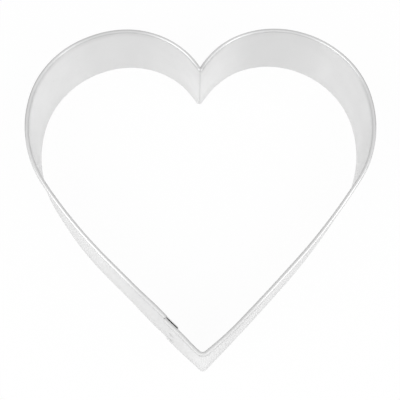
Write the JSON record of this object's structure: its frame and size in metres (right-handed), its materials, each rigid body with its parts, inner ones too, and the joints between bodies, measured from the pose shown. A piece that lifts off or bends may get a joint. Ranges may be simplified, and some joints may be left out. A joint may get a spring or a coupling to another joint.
{
  "type": "heart cookie cutter",
  "caption": "Open heart-shaped cookie cutter bent from a strip of tinplate, with a curled top edge and a spot-welded lap.",
  "frame": {"origin": "under the middle of the heart's bounding box, in the plane of the cutting edge", "axes": "+Z from the cutting edge up to the curled edge, +Y from the tip to the cleft, +X to the right lobe"},
  "size_m": [0.127, 0.1258, 0.0254],
  "materials": {
    "tinplate": "bright tin-plated sheet with faint rolling grain",
    "weld": "dull pressed spot weld"
  },
  "bodies": {
    "root": {"heart_band": "tinplate", "upper_spot_weld": "weld", "lower_spot_weld": "weld"}
  },
  "joints": []
}
